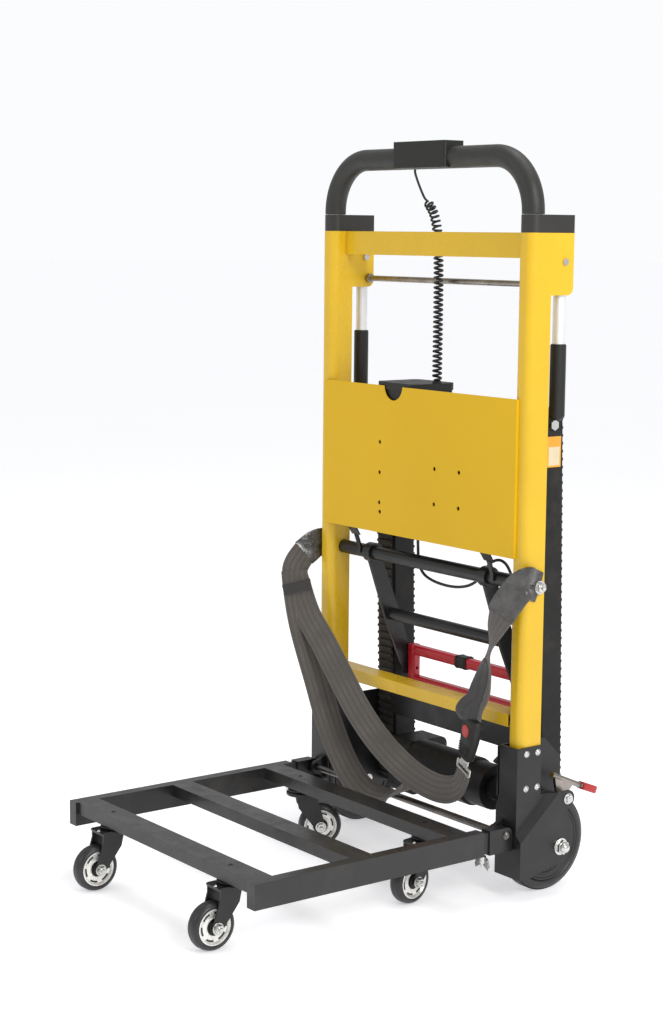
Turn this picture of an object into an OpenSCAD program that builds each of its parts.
// Stair climbing trolley: folding load platform on casters, yellow mast with a telescopic
// handle, two rubber crawler tracks driven by a geared motor, support frame and load belt.
// X runs across the trolley, -Y is the load side, +Y the stair side, Z is up, floor at Z = 0.
// Heights are above the floor. Depths in the modules are from the mast's front face.

/* [Mast] */
// Width over the two uprights
mast_w = 544; // [480:2:600]
// Height of the top of the uprights above the floor
mast_h = 1067; // [1000:1:1180]
// Width of an upright extrusion
upright_w = 36; // [32:1:40]
// Depth of an upright extrusion
upright_d = 42; // [38:1:48]
// Radius of an upright's front corners
upright_r = 14; // [6:1:16]
// Wall of the upright extrusion
upright_wall = 2.5; // [2:0.5:3]

/* [Handle] */
// Height of the handle's cross tube above the floor
handle_h = 1187; // [1160:1:1300]
// Outer diameter of the foam sleeve
sleeve_d = 36; // [32:1:38]
// Outer diameter of the steel handle tube
handle_d = 28; // [25:1:28]
// Bend radius of the handle
handle_bend = 88; // [70:1:100]

/* [Panel] */
// Height of the panel's lower edge
panel_low = 555; // [540:1:600]
// Height of the panel's upper edge
panel_high = 808; // [780:1:850]
// Width of the panel
panel_w = 500; // [460:1:500]

/* [Platform] */
// Width over the platform's side rails
platform_w = 538; // [480:1:540]
// Height of the load surface
deck_h = 125; // [123:1:127]
// Height of a side rail
rail_h = 40; // [36:1:42]
// Width of a side rail, and thickness of a cross bar
rail_t = 20; // [18:1:22]
// Distance of the platform's front edge ahead of the mast
platform_reach = 514; // [480:1:560]
// Sideways distance of each caster from the middle
caster_x = 170; // [150:1:190]
// Diameter of the caster wheels
caster_d = 75; // [70:1:76]

/* [Tracks] */
// Width of a crawler belt
belt_w = 40; // [36:1:42]
// Sideways distance of a track's middle from the trolley's middle
track_x = 191; // [185:1:195]
// Pitch of the belt's teeth
tooth_pitch = 12.7; // [12:0.1:14]
// Distance between the drive shaft and the idler axle
track_length = 660; // [600:1:700]
// Lean of the tracks from upright
track_lean = 1.4; // [0:0.1:2]

/* [Main wheels] */
// Diameter of a main wheel
wheel_d = 162; // [156:1:163]
// Width of a main wheel
wheel_w = 28; // [24:1:28]

/* [Hidden] */
$fn = 48;

eps = 0.01;
fit = 0.05;          // radial clearance of a running fit
sides = [-1, 1];     // left, right

// Casters: pivots measured from the mast's front face, 1 and 2 in front, 3 and 4 behind
caster_front_y = -489;
caster_rear_y = -112;
caster_trail = 35;
caster_swivel = [0, 0, 150, 9];
caster_place = [[-caster_x, caster_front_y], [caster_x, caster_front_y],
                [-caster_x, caster_rear_y], [caster_x, caster_rear_y]];
caster_r = caster_d / 2;
fork_top = 98.5;
caster_wheel_w = 25;

// The row origin is in the middle of the depth, so the mast's front face stands behind it
front_reach = -caster_front_y + caster_trail + caster_r;
rear_reach = 170;    // to the tip of the lock lever
mast_y = (front_reach - rear_reach) / 2;

upright_x = mast_w / 2 - upright_w / 2;
inner_x = mast_w / 2 - upright_w;
upright_foot = 172;
handle_y = 17;       // axis of the handle's legs and cross tube
handle_foot = 740;   // lower end of the handle's legs inside the uprights
handle_wall = 2;
cap_h = 28;
cap_back = 89;

tube_y = 29;         // upper tube, which carries the support frame and the load belt
tube_z = 510;
tube_d = 24;

bracket_back = 89;
bracket_low = 970;
bracket_t = 3;
rod_y = 77;          // cross rod, on which the auxiliary handles fold
rod_z = 985;
rod_d = 10;
aux_x = 254;
aux_d = 20;
grip_d = 25.5;
grip_top = 893;
grip_low = 772;

hinge_y = -24;       // platform hinge
hinge_z = 112;
hinge_d = 12;
box_front = -10;
box_t = 3;
box_top = 252;
plate_low = 38;
joggle = 12;         // how far the lower side plate stands out

axle_y = 77;
axle_z = wheel_d / 2;
axle_d = 16;
wheel_x = 230;       // inner face of the main wheel

drive_y = 122;
drive_z = 100;
drive_d = 16;
sprocket_r = 20.8;
belt_in = 21;        // belt's inner radius round the sprockets
belt_body = 24.3;
tooth_h = 3.4;
track_plate_t = 5;

lever_y = 92;
lever_z = 158;

rail_x = platform_w / 2 - rail_t / 2;
rail_back = -71.5;
rail_wall = 2.5;
bar_d = 40;
bar_y = [-489, -304.5, -112];
block_front = -59.5;

web_w = 46;          // belt webbing
web_t = 2.4;

// ---------- helpers ----------

module at_mast() translate([0, mast_y, 0]) children();

module along_x(x, y, z) translate([x, y, z]) rotate([0, 90, 0]) children();

module both() for (s = sides) scale_x(s) children();

module scale_x(s) if (s > 0) children(); else mirror([1, 0, 0]) children();

// A block from its two corners
module block(a, b) translate(a) cube(b - a);

// Upright profile: round front corners, square back
module d_profile(w, d, r) {
    translate([-w / 2, r]) square([w, d - r]);
    translate([-w / 2 + r, 0]) square([w - 2 * r, d]);
    for (s = sides) translate([s * (w / 2 - r), r]) circle(r);
}

module round_rect(w, h, r) {
    translate([-w / 2 + r, -h / 2]) square([w - 2 * r, h]);
    translate([-w / 2, -h / 2 + r]) square([w, h - 2 * r]);
    for (s = sides, t = sides) translate([s * (w / 2 - r), t * (h / 2 - r)]) circle(r);
}

// Outline in the side plane (depth, height), pushed along X from x
module side_plate(x, t) translate([x, 0, 0]) rotate([90, 0, 90]) linear_extrude(t) children();

// Rectangular tube along X, centred
module tube_x(length, d, h, wall) difference() {
    cube([length, d, h], center = true);
    cube([length + 1, d - 2 * wall, h - 2 * wall], center = true);
}

// Swept round tube: the rings stand square to the route
function unit(v) = v / norm(v);
function tangent(p, i) = unit(p[min(i + 1, len(p) - 1)] - p[max(i - 1, 0)]);
// across is a direction the route never runs along, so that the rings do not twist
module sweep_round(p, d, n, across) {
    rings = [for (i = [0:len(p) - 1])
        let (t = tangent(p, i), u = unit(cross(t, across)), v = cross(t, u))
        for (k = [0:n - 1]) p[i] + d / 2 * (cos(360 * k / n) * u + sin(360 * k / n) * v)];
    last = (len(p) - 1) * n;
    faces = concat(
        [[for (k = [0:n - 1]) k]],
        [for (i = [0:len(p) - 2], k = [0:n - 1])
            [i * n + k, (i + 1) * n + k, (i + 1) * n + (k + 1) % n, i * n + (k + 1) % n]],
        [[for (k = [n - 1:-1:0]) last + k]]);
    polyhedron(rings, faces, convexity = 6);
}

// Flat webbing: each entry is a point and the direction across the webbing
// Both broad faces are split along the same diagonal, so that they stay apart where it twists
module ribbon(route) {
    p = [for (r = route) r[0]];
    corners = [for (i = [0:len(p) - 1])
        let (t = tangent(p, i), w = unit(route[i][1] - (route[i][1] * t) * t), n = cross(t, w))
        for (c = [[-1, -1], [1, -1], [1, 1], [-1, 1]])
            p[i] + c.x * web_w / 2 * w + c.y * web_t / 2 * n];
    last = (len(p) - 1) * 4;
    faces = concat(
        [[0, 1, 2], [0, 2, 3]],
        [for (i = [0:len(p) - 2], k = [0:3]) let (a = i * 4, b = a + 4, m = (k + 1) % 4)
            each k == 2 ? [[a + k, b + k, a + m], [b + k, b + m, a + m]]
                        : [[a + k, b + k, b + m], [a + k, b + m, a + m]]],
        [[last, last + 2, last + 1], [last, last + 3, last + 2]]);
    polyhedron(corners, faces, convexity = 6);
}

// ---------- mast ----------

module uprights() color("gold") at_mast() both() difference() {
    translate([upright_x, 0, upright_foot]) linear_extrude(mast_h - upright_foot) difference() {
        d_profile(upright_w, upright_d, upright_r);
        translate([0, upright_wall])
            d_profile(upright_w - 2 * upright_wall, upright_d - 2 * upright_wall,
                      upright_r - upright_wall);
    }
    along_x(inner_x - 1, tube_y, tube_z) cylinder(h = upright_w + 2, r = 5);
    base_rivet_holes();
}

module base_rivet_holes()
    for (y = [10, 34], z = [184.5, 241.5]) along_x(mast_w / 2 - 6, y, z) cylinder(h = 12, r = 2.4);

module top_crossbar() color("gold") at_mast()
    translate([0, 34.5, mast_h - 20]) tube_x(2 * inner_x, 15, 40, 2);

module lower_crossbar() color("gold") at_mast()
    translate([0, 22, 289.5]) tube_x(2 * inner_x, 38, 21, 2);

module base_crossbar() color("dimgray") at_mast()
    translate([0, 98, 231]) tube_x(2 * (track_x - belt_w / 2 - track_plate_t), 20, 40, 2.5);

// Sheet panel with side flanges, a half-round notch and its screw holes
panel_hole_r = 3.5;
module panel() color("goldenrod") at_mast() difference() {
    union() {
        block([-panel_w / 2, -5, panel_low], [panel_w / 2, -3, panel_high]);
        for (s = sides) translate([s * (panel_w / 2 - 1) - 1, -5, panel_low])
            cube([2, 5, panel_high - panel_low]);
    }
    translate([-60, 0, panel_high + 1]) rotate([90, 0, 0]) cylinder(h = 10, r = 25);
    for (p = [[-94, 711], [-94, 659], [-94, 607], [-92, 591],
              [51.5, 679], [113.5, 679], [51.5, 620], [113.5, 620]])
        translate([p.x, 0, p.y]) rotate([90, 0, 0]) cylinder(h = 10, r = panel_hole_r);
}

// Motor controller housing behind the panel, with a lid that overhangs it
module control_box() color("dimgray") at_mast() {
    translate([-60, 45, 562]) linear_extrude(240) round_rect(98, 90, 10);
    translate([-60, 45, 802]) linear_extrude(12) round_rect(104, 94, 14);
    for (p = [[-22, 600], [-22, 780], [-100, 635], [-100, 770]])
        translate([p.x, 1, p.y]) rotate([90, 0, 0]) cylinder(h = 4, r = 5);
}

module battery_pack() color("dimgray") at_mast() {
    translate([82.5, 40, 585]) linear_extrude(170) round_rect(110, 76, 8);
    for (x = [36, 130], z = [598, 742])
        translate([x, 3, z]) rotate([90, 0, 0]) cylinder(h = 6, r = 5);
}

// Sheet brackets behind the tops of the uprights
module top_brackets() color("gold") at_mast() both() difference() {
    union() {
        block([mast_w / 2 - bracket_t, upright_d, bracket_low],
              [mast_w / 2, bracket_back, mast_h]);
        block([inner_x, upright_d, bracket_low], [inner_x + bracket_t, bracket_back, mast_h]);
        block([inner_x, upright_d, mast_h - bracket_t], [mast_w / 2, bracket_back, mast_h]);
    }
    along_x(inner_x - 1, rod_y, rod_z) cylinder(h = 10, r = rod_d / 2);
    along_x(inner_x - 1, 70, 1022) cylinder(h = upright_w + 2, r = 3);
    // rounded lower back corner
    translate([0, bracket_back - 12, bracket_low + 12]) rotate([0, 90, 0]) difference() {
        translate([0, 0, inner_x - 1]) cube([13, 13, upright_w + 2]);
        translate([0, 0, inner_x - 2]) cylinder(h = upright_w + 4, r = 12);
    }
}

// Plastic caps: each guides a leg of the handle and covers the bracket
module mast_caps() color("dimgray") at_mast() both() translate([upright_x, 0, mast_h])
    difference() {
        linear_extrude(cap_h) {
            translate([0, -0.5]) d_profile(upright_w + 1, upright_d + 0.5, upright_r + 3);
            translate([-upright_w / 2, upright_d - 4]) square([upright_w, cap_back - upright_d + 4]);
        }
        translate([0, handle_y, -1]) cylinder(h = cap_h + 2, r = handle_d / 2 + fit);
    }

module cross_rod() color("silver") at_mast() {
    along_x(-mast_w / 2 + bracket_t, rod_y, rod_z)
        cylinder(h = mast_w - 2 * bracket_t, r = rod_d / 2);
    both() along_x(inner_x - 9, rod_y, rod_z) cylinder(h = 9, r = 8);
}

module upper_tube() color("dimgray") at_mast() difference() {
    along_x(-inner_x, tube_y, tube_z) cylinder(h = 2 * inner_x, r = tube_d / 2);
    along_x(-inner_x - 1, tube_y, tube_z) cylinder(h = 41, r = 5);
    along_x(inner_x - 40, tube_y, tube_z) cylinder(h = 41, r = 5);
}

// Slanted tabs that tie the panel's lower edge to the upper tube
module panel_stays() color("dimgray") at_mast() for (x = [-172, 178]) {
    side_plate(x - 11, 22) polygon([[-3, 580], [0, 580], [0, 556], [9, 541], [6, 541], [-3, 554]]);
    side_plate(x - 4, 8) polygon([[5, 541], [9.6, 541], [17, 521], [17, 508], [13.5, 508], [13.5, 519]]);
}

// ---------- base ----------

// Side sheet: flat above the crease, standing out by the joggle below it
crease = [[-10, 106], [58, 166]];
module joggle_sheet() {
    a = atan2(crease[1].y - crease[0].y, crease[1].x - crease[0].x);
    translate([mast_w / 2, crease[0].x, crease[0].y]) rotate([a, 0, 0])
        translate([0, -200, 0]) rotate([-90, 0, 0]) linear_extrude(500)
            polygon([[0, -200], [box_t, -200], [box_t, -4], [box_t + joggle, 5],
                     [box_t + joggle, 200], [joggle, 200], [joggle, 5.8], [0, -3.2]]);
}

module side_outline() {
    polygon([[box_front, box_top], [upright_d, box_top], [upright_d, 170], [lever_y, 172],
             [lever_y, 130], [axle_y + 24, axle_z + 10], [axle_y, axle_z], [box_front, plate_low]]);
    translate([lever_y, lever_z]) circle(14);
    translate([axle_y, axle_z]) circle(25);
    polygon([[box_front, plate_low], [box_front + 18, plate_low], [axle_y + 8, axle_z - 23.5],
             [axle_y, axle_z]]);
}

module base_boxes() color("dimgray") at_mast() both() difference() {
    union() {
        intersection() {
            joggle_sheet();
            side_plate(mast_w / 2 - 1, box_t + joggle + 2) side_outline();
        }
        // front wall
        translate([0, box_front + box_t, 0]) rotate([90, 0, 0]) linear_extrude(box_t)
            polygon([[inner_x - 3, box_top], [mast_w / 2 + eps, box_top], [mast_w / 2 + eps, 112],
                     [mast_w / 2 + joggle, 100], [mast_w / 2 + joggle + eps, plate_low],
                     [226, plate_low], [226, 150], [inner_x - 3, 166]]);
        // inner wall beside the upright's foot
        block([inner_x - box_t, box_front, 172], [inner_x, upright_d, box_top]);
        // hinge lug
        side_plate(inner_x, 8) {
            translate([hinge_y, hinge_z]) circle(12);
            polygon([[hinge_y, hinge_z - 12], [box_front, hinge_z - 20],
                     [box_front, hinge_z + 20], [hinge_y, hinge_z + 12]]);
        }
    }
    along_x(inner_x - 2, hinge_y, hinge_z) cylinder(h = 14, r = hinge_d / 2);
    along_x(mast_w / 2 - 10, axle_y, axle_z) cylinder(h = 40, r = axle_d / 2);
    along_x(mast_w / 2 - 10, lever_y, lever_z) cylinder(h = 40, r = 4);
    base_rivet_holes();
}

// Plates that join the base boxes, the main wheel's axle and the track frames
module inner_plates() color("dimgray") at_mast() both() difference() {
    side_plate(track_x + belt_w / 2 + track_plate_t, 3)
        polygon([[0, 165], [0, 245], [100, 245], [136, 210], [142, 96], [120, 74], [80, 58],
                 [50, 62], [30, 110]]);
    along_x(200, axle_y, axle_z) cylinder(h = 40, r = axle_d / 2);
    along_x(200, drive_y, drive_z) cylinder(h = 40, r = drive_d / 2 + 2);
}

module wheel_axles() color("silver") at_mast() both() {
    along_x(track_x + belt_w / 2 + track_plate_t, axle_y, axle_z)
        cylinder(h = mast_w / 2 + joggle + box_t + 9 - track_x - belt_w / 2 - track_plate_t,
                 r = axle_d / 2);
    // nut, washer and domed cap outside the side plate
    along_x(mast_w / 2 + joggle + box_t, axle_y, axle_z) difference() {
        union() {
            cylinder(h = 2, r = 14);
            cylinder(h = 9, r = 12, $fn = 6);
            translate([0, 0, 9]) rotate_extrude() intersection() {
                circle(9);
                square([9, 9]);
            }
        }
        translate([0, 0, -1]) cylinder(h = 10, r = axle_d / 2);
    }
    // spacers on both sides of the wheel
    along_x(track_x + belt_w / 2 + track_plate_t + 3, axle_y, axle_z) ring(14, axle_d / 2, 10);
    along_x(wheel_x + wheel_w + 1, axle_y, axle_z) ring(14, axle_d / 2, 25);
}

module ring(r, hole, h) difference() {
    cylinder(h = h, r = r);
    translate([0, 0, -1]) cylinder(h = h + 2, r = hole);
}

module hinge_shaft() color("silver") at_mast() {
    along_x(-platform_w / 2 - 1, hinge_y, hinge_z) cylinder(h = platform_w + 2, r = hinge_d / 2);
    both() along_x(platform_w / 2 + 0.3, hinge_y, hinge_z) rotate_extrude() intersection() {
        translate([0, -4]) circle(9);
        square([9, 5]);
    }
}

module rivet(r, shank) {
    rotate_extrude() intersection() {
        translate([0, -r / 2]) circle(r * 1.2);
        square([r, r]);
    }
    translate([0, 0, -shank]) cylinder(h = shank + 0.2, r = 2.4);
}

// Rivets on the base boxes, bracket bolts, belt bolts, idler axles
module frame_fasteners() color("silver") at_mast() both() {
    for (y = [10, 34], z = [184.5, 241.5]) along_x(mast_w / 2 + box_t, y, z) rivet(4, 5);
    along_x(inner_x - 5, 70, 1022) {
        cylinder(h = upright_w + 8, r = 3);
        cylinder(h = 5, r = 6, $fn = 6);
        translate([0, 0, upright_w + 5]) cylinder(h = 3, r = 5.5);
    }
    along_x(inner_x - 30, tube_y, tube_z) cylinder(h = upright_w + 34, r = 5);
    along_x(mast_w / 2 + 4, tube_y, tube_z) {
        cylinder(h = 1.5, r = 11);
        translate([0, 0, 1.4]) cylinder(h = 5, r = 8.5, $fn = 6);
    }
    // pivot of the lock lever, and its twin on the left
    along_x(262, lever_y, lever_z) {
        cylinder(h = mast_w / 2 + joggle + box_t - 262, r = 4);
        translate([0, 0, mast_w / 2 + joggle + box_t - 262]) cylinder(h = 5, r = 7, $fn = 6);
    }
    track_place() along_x(track_x - belt_w / 2 - track_plate_t - 5, 0, track_length) {
        cylinder(h = belt_w + 2 * track_plate_t + 10, r = 6);
        cylinder(h = 5, r = 9, $fn = 6);
        translate([0, 0, belt_w + 2 * track_plate_t + 5]) cylinder(h = 5, r = 9, $fn = 6);
    }
}

// ---------- tracks ----------

// Puts the drive shaft's centre at the origin and the track upright
module track_place() translate([0, drive_y, drive_z]) rotate([track_lean, 0, 0]) children();

module stadium(r) {
    circle(r);
    translate([0, track_length]) circle(r);
    translate([-r, 0]) square([2 * r, track_length]);
}

module track_frames() color("dimgray") at_mast() both() difference() {
    track_place() {
        for (x = [track_x - belt_w / 2 - track_plate_t, track_x + belt_w / 2])
            side_plate(x, track_plate_t) stadium(belt_in);
        // guide block that backs the belt between the sprockets
        block([track_x - belt_w / 2, -belt_in + 0.2, 40],
              [track_x + belt_w / 2, belt_in - 0.2, track_length - 40]);
    }
    track_place() {
        along_x(0, 0, 0) cylinder(h = 400, r = drive_d / 2 + fit);
        along_x(0, 0, track_length) cylinder(h = 400, r = 6);
    }
}

// Crawler belts: a body with evenly spaced teeth all round
straight_teeth = floor(track_length / tooth_pitch);
bend_teeth = round(PI * belt_body / tooth_pitch);
tooth_w = 6;
module belt_tooth() polygon([[-tooth_w / 2, -0.5], [tooth_w / 2, -0.5], [tooth_w / 3, tooth_h],
                             [-tooth_w / 3, tooth_h]]);
module crawler_belts() color("black") at_mast() both() track_place()
    side_plate(track_x - belt_w / 2 + 0.5, belt_w - 1) difference() {
        union() {
            stadium(belt_body);
            for (s = sides, i = [0:straight_teeth - 1])
                translate([s * belt_body, (i + 0.5) * track_length / straight_teeth])
                    rotate([0, 0, -90 * s]) belt_tooth();
            for (i = [0:bend_teeth - 1]) {
                a = 180 * (i + 0.5) / bend_teeth;
                translate([0, track_length]) rotate([0, 0, a - 90]) translate([0, belt_body])
                    belt_tooth();
                rotate([0, 0, a + 90]) translate([0, belt_body]) belt_tooth();
            }
        }
        stadium(belt_in + 0.1);
    }

// A ridged wheel that carries the belt
module sprocket(bore) difference() {
    cylinder(h = belt_w - 2, r = sprocket_r);
    for (a = [0:30:330]) rotate([0, 0, a]) translate([sprocket_r, 0, -1])
        cylinder(h = belt_w, r = 1.8);
    translate([0, 0, -1]) cylinder(h = belt_w, r = bore);
}

module drive_shaft() color("silver") at_mast() track_place() {
    along_x(-track_x - 28, 0, 0) cylinder(h = 2 * track_x + 56, r = drive_d / 2);
    both() along_x(track_x - belt_w / 2 + 1, 0, 0) sprocket(drive_d / 2);
}

module idlers() color("silver") at_mast() both() track_place()
    along_x(track_x - belt_w / 2 + 1, 0, track_length) sprocket(6 + fit);

module gearbox() color("dimgray") at_mast() difference() {
    union() {
        side_plate(-132, 56) translate([98, 132]) round_rect(88, 96, 14);
        side_plate(-166, 34) translate([drive_y, drive_z]) circle(17);
    }
    along_x(-170, drive_y, drive_z) cylinder(h = 100, r = drive_d / 2 + fit);
}

// Motor lying across between the tracks, with an end cover
module drive_motor() color("dimgray") at_mast() along_x(-76, 82, 140) {
    cylinder(h = 150, r = 42);
    translate([0, 0, 150]) cylinder(h = 50, r = 38);
    translate([0, 0, 200]) cylinder(h = 6, r = 20);
}

// ---------- main wheels ----------

module main_wheel() {
    // tyre, with a groove in each face
    rotate_extrude($fn = 96) difference() {
        polygon([[56, 0], [74, 0], [wheel_d / 2 - 3, 3], [wheel_d / 2, 7],
                 [wheel_d / 2, wheel_w - 7], [wheel_d / 2 - 3, wheel_w - 3], [74, wheel_w],
                 [56, wheel_w]]);
        translate([64, wheel_w - 1.5]) square([2, 3]);
        translate([64, -1.5]) square([2, 3]);
    }
    // hub
    rotate_extrude($fn = 96) polygon([[axle_d / 2 + fit, -0.5], [20, -0.5], [22, 3], [56, 3],
        [56, wheel_w - 3], [22, wheel_w - 3], [20, wheel_w + 0.5], [axle_d / 2 + fit, wheel_w + 0.5]]);
}

module main_wheel_left() color("dimgray") at_mast() scale_x(-1)
    along_x(wheel_x, axle_y, axle_z) main_wheel();

module main_wheel_right() color("dimgray") at_mast()
    along_x(wheel_x, axle_y, axle_z) main_wheel();

// ---------- handle ----------

// U bend in the XZ plane: legs, two quarter bends and the cross tube, all of one diameter
module handle_u(d, foot) {
    leg_top = handle_h - handle_bend;
    for (s = sides) {
        translate([s * upright_x, handle_y, foot]) cylinder(h = leg_top - foot, d = d);
        translate([s * (upright_x - handle_bend), handle_y, leg_top])
            scale_x(s) rotate([90, 0, 0]) rotate_extrude(angle = 90)
                translate([handle_bend, 0]) circle(d = d);
    }
    along_x(-upright_x + handle_bend, handle_y, handle_h)
        cylinder(h = 2 * (upright_x - handle_bend), d = d);
}

module handle_tube() color("silver") at_mast() difference() {
    handle_u(handle_d, handle_foot);
    handle_u(handle_d - 2 * handle_wall, handle_foot - 1);
}

module handle_sleeve() color("dimgray") at_mast() difference() {
    handle_u(sleeve_d, mast_h + cap_h + 0.5);
    handle_u(handle_d, handle_foot);
}

box_z = [1171, 1214];
switch_z = 1205;
rocker_y = handle_y + 15.5;
rocker_pin = 1.5;
// Switch housing clamped round the middle of the handle
module switch_box() color("dimgray") at_mast() {
    difference() {
        translate([-2, handle_y - 1.5, box_z[0]]) linear_extrude(box_z[1] - box_z[0])
            round_rect(134, 43, 5);
        along_x(-80, handle_y, handle_h) cylinder(h = 160, r = sleeve_d / 2);
        block([-22, handle_y + 8, switch_z - 6], [22, handle_y + 30, switch_z + 6]);
        translate([45, handle_y + 10, switch_z]) rotate([-90, 0, 0]) cylinder(h = 20, r = 5.6);
    }
    along_x(-23, rocker_y, switch_z) cylinder(h = 46, r = rocker_pin);
}

// Up and down rocker on the user's side of the switch box
module drive_rocker() color("dimgray") at_mast() difference() {
    side_plate(-21, 42) translate([rocker_y, switch_z]) difference() {
        circle(5.5);
        // hollowed face that the thumb presses
        polygon([[3.2, 0], [6, -7], [9, -7], [9, 7], [6, 7]]);
    }
    along_x(-30, rocker_y, switch_z) cylinder(h = 60, r = rocker_pin + fit);
}

module stop_button() color("red") at_mast()
    translate([45, handle_y + 16.5, switch_z]) rotate([-90, 0, 0]) cylinder(h = 7, r = 5.5);

// ---------- cords ----------

cord_d = 4;
coil_d = 18;
lead_route = [[-53.5, 31, 1170.9], [-53.5, 31, 1165], [-53.6, 35, 1155], [-53.8, 41, 1143],
              [-53.6, 47.5, 1131], [-53, 52, 1123], [-52.2, 53.9, 1119.3]];
module cord_lead() color("black") at_mast() sweep_round(lead_route, cord_d, 8, [1, 0, 0]);

coil_route = [[-50.5, 56, 1116.5], [-40.6, 56, 1107.4], [-33.5, 56, 1098], [-28.4, 56, 1087],
              [-24.4, 56, 1074], [-21.6, 56, 1060], [-19.5, 56, 1037], [-17.9, 56, 990],
              [-17.4, 56, 920], [-17.5, 56, 860], [-17.5, 56, 814]];
module coil_cord() color("black") at_mast() sweep_round(coil_route, coil_d, 12, [0, 1, 0]);

// Motor cable: hangs in a loop below the controller and runs down inside the right track
cable_d = 5;
cable_route = [[-57, 52, 561.5], [-57, 52, 550], [-56, 52, 530], [-53, 51, 510], [-46, 50, 494],
               [-32, 50, 483], [-10, 50, 477], [14, 50, 474.5], [38, 50, 474.5], [62, 50, 477.5],
               [84, 50, 484], [102, 51, 495], [116, 52.5, 511], [127, 53, 524], [137, 54, 531],
               [147, 57, 534], [155, 61, 531], [160, 66, 522], [162, 74, 503], [162.3, 84, 475],
               [162.5, 93, 440],
               [162.5, 98, 400],
               [162.5, 100, 350], [162.5, 101, 300], [161, 110, 268], [152, 122, 246],
               [138, 128, 222], [124, 124, 200], [112, 112, 184], [104, 100, 179]];
module loop_cable() color("black") at_mast() sweep_round(cable_route, cable_d, 8, [0, 1, 0]);

// ---------- auxiliary handles ----------

module aux_tube() difference() {
    translate([aux_x, rod_y, grip_low + 8]) cylinder(h = 218, d = aux_d);
    along_x(inner_x, rod_y, rod_z) cylinder(h = 40, r = rod_d / 2 + fit);
}

module aux_grip() difference() {
    translate([aux_x, rod_y, grip_low]) rotate_extrude()
        polygon([[0, 0], [7, 0], [grip_d / 2 - 2, 2.5], [grip_d / 2, 7],
                 [grip_d / 2, grip_top - grip_low - 2], [grip_d / 2 - 1.5, grip_top - grip_low],
                 [0, grip_top - grip_low]]);
    translate([aux_x, rod_y, grip_low + 8]) cylinder(h = 150, d = aux_d);
}

module aux_tube_left() color("silver") at_mast() scale_x(-1) aux_tube();
module aux_tube_right() color("silver") at_mast() aux_tube();
module aux_grip_left() color("dimgray") at_mast() scale_x(-1) aux_grip();
module aux_grip_right() color("dimgray") at_mast() aux_grip();

// ---------- support frame ----------

arm_t = 6;
post_y = 116;        // pedal frame's tubes
pedal_d = 18;
pedal_w = 298;
arm_x = pedal_w / 2;  // inner face of an arm
pedal_z = [265, 338];
second_y = 73;
second_z = 396;

// the pedal frame is bolted between the arms
module support_arms() color("dimgray") at_mast() {
    both() difference() {
        union() {
            side_plate(arm_x, arm_t) polygon([[tube_y - 13, tube_z - 4], [tube_y + 12, tube_z + 4],
                [92, 392], [post_y + 8, 300], [post_y + 8, 284], [post_y - 12, 284], [60, 384]]);
            along_x(arm_x - 6, tube_y, tube_z) cylinder(h = 18, r = 17);
        }
        along_x(arm_x - 10, tube_y, tube_z) cylinder(h = 30, r = tube_d / 2 + fit);
        along_x(arm_x - 10, post_y, 296) cylinder(h = 30, r = 3);
    }
    along_x(-arm_x, second_y, second_z) cylinder(h = 2 * arm_x, r = 11);
}

// Red frame at the foot of the support arms
module pedal_frame() color("crimson") at_mast() difference() {
    union() {
        for (z = [pedal_z[0] + pedal_d / 2, pedal_z[1] - pedal_d / 2]) translate([0, post_y, z])
            rotate([0, 90, 0]) linear_extrude(pedal_w - 2 * pedal_d, center = true)
                round_rect(pedal_d, pedal_d, 5);
        for (s = sides) translate([s * (pedal_w / 2 - pedal_d / 2), post_y, pedal_z[0]])
            linear_extrude(pedal_z[1] - pedal_z[0]) round_rect(pedal_d, pedal_d, 5);
    }
    both() along_x(arm_x - 2 * pedal_d, post_y, 296) cylinder(h = 3 * pedal_d, r = 3);
}

// ---------- lock lever ----------

module lock_lever() color("silver") at_mast() {
    difference() {
        union() {
            side_plate(266, 6) polygon([[lever_y - 9, lever_z], [lever_y - 16, lever_z + 36],
                [lever_y + 26, lever_z + 18], [lever_y + 9, lever_z]]);
            along_x(264, lever_y, lever_z) cylinder(h = 10, r = 10);
            translate([269, 72, 197]) rotate([-113.5, 0, 0]) cylinder(h = 68, r = 4.5);
        }
        along_x(260, lever_y, lever_z) cylinder(h = 30, r = 4 + fit);
    }
    // flattened tip
    translate([269, 133, 171]) rotate([-22, 0, 0]) linear_extrude(6, center = true) {
        translate([-6, 0]) square([12, 30]);
        translate([0, 30]) circle(8.6);
    }
}

// ---------- platform ----------

module hinge_blocks() color("dimgray") at_mast() both() difference() {
    union() {
        side_plate(rail_x - rail_t / 2, rail_t) {
            translate([hinge_y, hinge_z]) circle(13);
            polygon([[block_front, deck_h], [hinge_y, deck_h], [hinge_y + 13, hinge_z],
                     [hinge_y + 12, deck_h - rail_h], [block_front, deck_h - rail_h]]);
        }
        // tongue that slides in the rail
        block([rail_x - 7.2, -190, deck_h - rail_h + 3], [rail_x + 7.2, block_front + 1, deck_h - 3]);
    }
    along_x(rail_x - 20, hinge_y, hinge_z) cylinder(h = 40, r = hinge_d / 2 + fit);
    translate([rail_x, -65.5, deck_h - rail_h - 5]) cylinder(h = 25, r = 3);
}

module wing_screw() translate([rail_x, -65.5, 0]) {
    translate([0, 0, 66]) cylinder(h = 36, r = 3 - fit);
    translate([0, 0, 72]) cylinder(h = 12, r = 5.5);
    rotate([90, 0, 0]) linear_extrude(3, center = true) for (s = sides)
        polygon([[s * 2, 84], [s * 2, 70], [s * 15, 62], [s * 17, 68], [s * 13, 80], [s * 5.5, 84]]);
}

module wing_screw_left() color("silver") at_mast() scale_x(-1) wing_screw();
module wing_screw_right() color("silver") at_mast() wing_screw();

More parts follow.
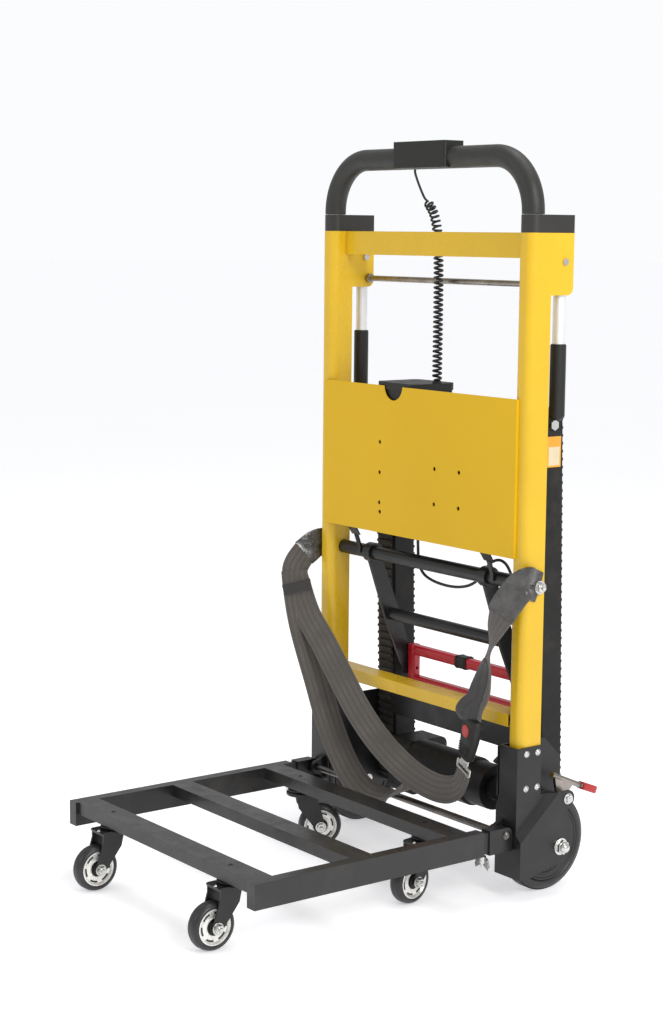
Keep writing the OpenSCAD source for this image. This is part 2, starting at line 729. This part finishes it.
// Welded frame of two hollow side rails and three cross bars
module platform_frame() color("dimgray") at_mast() difference() {
    union() {
        for (s = sides) difference() {
            translate([s * rail_x - rail_t / 2, -platform_reach, deck_h - rail_h])
                cube([rail_t, platform_reach + rail_back, rail_h]);
            translate([s * rail_x - rail_t / 2 + rail_wall, -platform_reach + 3,
                       deck_h - rail_h + rail_wall])
                cube([rail_t - 2 * rail_wall, platform_reach, rail_h - 2 * rail_wall]);
        }
        for (y = bar_y) translate([0, y, deck_h - rail_t / 2])
            tube_x(2 * rail_x - rail_t, bar_d, rail_t, 2);
    }
    for (p = caster_place) translate([p.x, p.y, deck_h - rail_t - 1])
        cylinder(h = rail_t + 2, r = 4.5);
}

module caster_heads() color("silver") at_mast() for (p = caster_place) translate([p.x, p.y, 0]) {
    translate([0, 0, 88]) cylinder(h = 34, r = 4.5);
    translate([0, 0, fork_top + 0.3]) cylinder(h = deck_h - rail_t - fork_top - 0.3, r = 20);
    translate([0, 0, 84]) cylinder(h = 5, r = 7);
}

// Fork with its axle bolt; the wheel trails towards the front
module caster_fork() {
    difference() {
        union() {
            linear_extrude(fork_top - 92) {
                circle(22);
                translate([-19, -30]) square([38, 40]);
            }
            for (s = sides) side_plate(s > 0 ? 16 : -19, 3) {
                translate([-caster_trail, caster_r - 92]) circle(9);
                polygon([[10, 6.5], [-30, 6.5], [-30, -8], [-caster_trail - 9, caster_r - 92],
                         [-caster_trail + 9, caster_r - 96], [4, -20]]);
            }
        }
        translate([0, 0, -1]) cylinder(h = 20, r = 4.5 + fit);
    }
    along_x(-19, -caster_trail, caster_r - 92) cylinder(h = 38, r = 4);
    for (x = [-24, 18.9]) along_x(x, -caster_trail, caster_r - 92)
        cylinder(h = 5.1, r = 7, $fn = 6);
}

module caster_at(i) at_mast() translate([caster_place[i].x, caster_place[i].y, 92])
    rotate([0, 0, caster_swivel[i]]) children();

module caster_wheel() along_x(-caster_wheel_w / 2, -caster_trail, caster_r - 92) {
    w = caster_wheel_w;
    // tyre
    rotate_extrude($fn = 72) polygon([[27, 0], [31, 0], [35.5, 2.5], [caster_r, 7],
        [caster_r, w - 7], [35.5, w - 2.5], [31, w], [27, w]]);
    // rim
    rotate_extrude($fn = 72) polygon([[4 + fit, -2.5], [9, -2.5], [9, 3], [17, 5], [22, 1],
        [27, 1], [27, w - 1], [22, w - 1], [17, w - 5], [9, w - 3], [9, w + 2.5],
        [4 + fit, w + 2.5]]);
}

module caster_fork_1() color("dimgray") caster_at(0) caster_fork();
module caster_fork_2() color("dimgray") caster_at(1) caster_fork();
module caster_fork_3() color("dimgray") caster_at(2) caster_fork();
module caster_fork_4() color("dimgray") caster_at(3) caster_fork();
module caster_wheel_1() color("black") caster_at(0) caster_wheel();
module caster_wheel_2() color("black") caster_at(1) caster_wheel();
module caster_wheel_3() color("black") caster_at(2) caster_wheel();
module caster_wheel_4() color("black") caster_at(3) caster_wheel();

// ---------- load belt ----------

// Points along the webbing, each with the direction across it
belt_left_route = [
    [[-273.7, 29, 510], [0, 0.38, 1]], [[-274.4, 16, 514], [0, 0.38, 1]],
    [[-277, -3, 512], [-0.1, 0.1, 1]], [[-281.1, -26, 496], [-0.35, -0.35, 0.87]],
    [[-283.3, -44, 468], [-0.58, -0.75, 0.3]], [[-265.3, -48, 437], [-0.55, -0.79, -0.25]],
    [[-236.3, -49, 393], [-0.5, -0.76, -0.41]], [[-193, -50, 355], [-0.48, -0.74, -0.47]],
    [[-137, -50, 299], [-0.48, -0.74, -0.47]], [[-82, -50, 246], [-0.46, -0.72, -0.52]],
    [[-19, -49, 199.6], [-0.39, -0.66, -0.64]], [[50, -48, 168], [-0.23, -0.49, -0.84]],
    [[105, -47, 157], [-0.05, -0.3, -0.95]], [[143, -45, 159], [0.25, -0.27, -0.9]],
    [[165, -41, 172], [0.6, -0.3, -0.7]], [[173.3, -37.8, 190], [0.92, -0.27, -0.3]]
];
belt_right_route = [
    [[199.6, -36.6, 296.5], [0.94, -0.26, -0.23]], [[204, -37, 314], [0.97, -0.24, -0.15]],
    [[214, -36, 338], [1, -0.1, 0]], [[222, -35, 370], [0.95, -0.3, 0]],
    [[229, -33, 410], [0.75, -0.6, 0]], [[238, -30, 445], [0.9, -0.1, -0.1]],
    [[256, -25, 482], [0.7, 0.4, -0.5]], [[273, -17, 509], [0.45, 0.4, -0.8]],
    [[281, -3, 522], [0, 0, -1]], [[273.7, 16, 515], [0, -0.4, -1]],
    [[273.7, 29, 510], [0, -0.4, -1]]
];
module belt_left() color("dimgray") at_mast() difference() {
    ribbon(belt_left_route);
    along_x(-290, tube_y, tube_z) cylinder(h = 20, r = 5.2);
}
module belt_right() color("dimgray") at_mast() difference() {
    ribbon(belt_right_route);
    along_x(270, tube_y, tube_z) cylinder(h = 20, r = 5.2);
}

// The buckle hangs aslant: this frame has its foot at the tongue and its top at the webbing
module at_buckle() at_mast() translate([181, -36.5, 222]) rotate([0, 14, 0]) rotate([0, 0, -15])
    children();

module buckle() color("dimgray") at_buckle() difference() {
    linear_extrude(72) round_rect(48, 20, 6);
    translate([-16, -11, 38]) cube([32, 10, 22]);
    translate([-14, -3, -1]) cube([28, 4, 30]);
}
module buckle_button() color("red") at_buckle()
    translate([-15.5, -12, 38.5]) cube([31, 7, 21]);
module latch_tongue() color("silver") at_buckle() {
    translate([-13, -2, -10]) cube([26, 2.4, 38]);
    translate([-25, -2.2, -26]) difference() {
        cube([50, 2.8, 16.5]);
        translate([6, -1, 4]) cube([38, 5, 5]);
    }
}

uprights();
top_crossbar();
lower_crossbar();
base_crossbar();
panel();
control_box();
battery_pack();
top_brackets();
mast_caps();
cross_rod();
upper_tube();
panel_stays();
base_boxes();
inner_plates();
track_frames();
crawler_belts();
gearbox();
drive_motor();
wheel_axles();
frame_fasteners();
hinge_shaft();
belt_left();
belt_right();
buckle();
latch_tongue();
coil_cord();
loop_cable();
handle_tube();
handle_sleeve();
switch_box();
cord_lead();
drive_rocker();
stop_button();
aux_tube_left();
aux_tube_right();
aux_grip_left();
aux_grip_right();
hinge_blocks();
wing_screw_left();
wing_screw_right();
platform_frame();
caster_heads();
caster_fork_1();
caster_fork_2();
caster_fork_3();
caster_fork_4();
caster_wheel_1();
caster_wheel_2();
caster_wheel_3();
caster_wheel_4();
main_wheel_left();
main_wheel_right();
drive_shaft();
idlers();
support_arms();
pedal_frame();
lock_lever();
buckle_button();
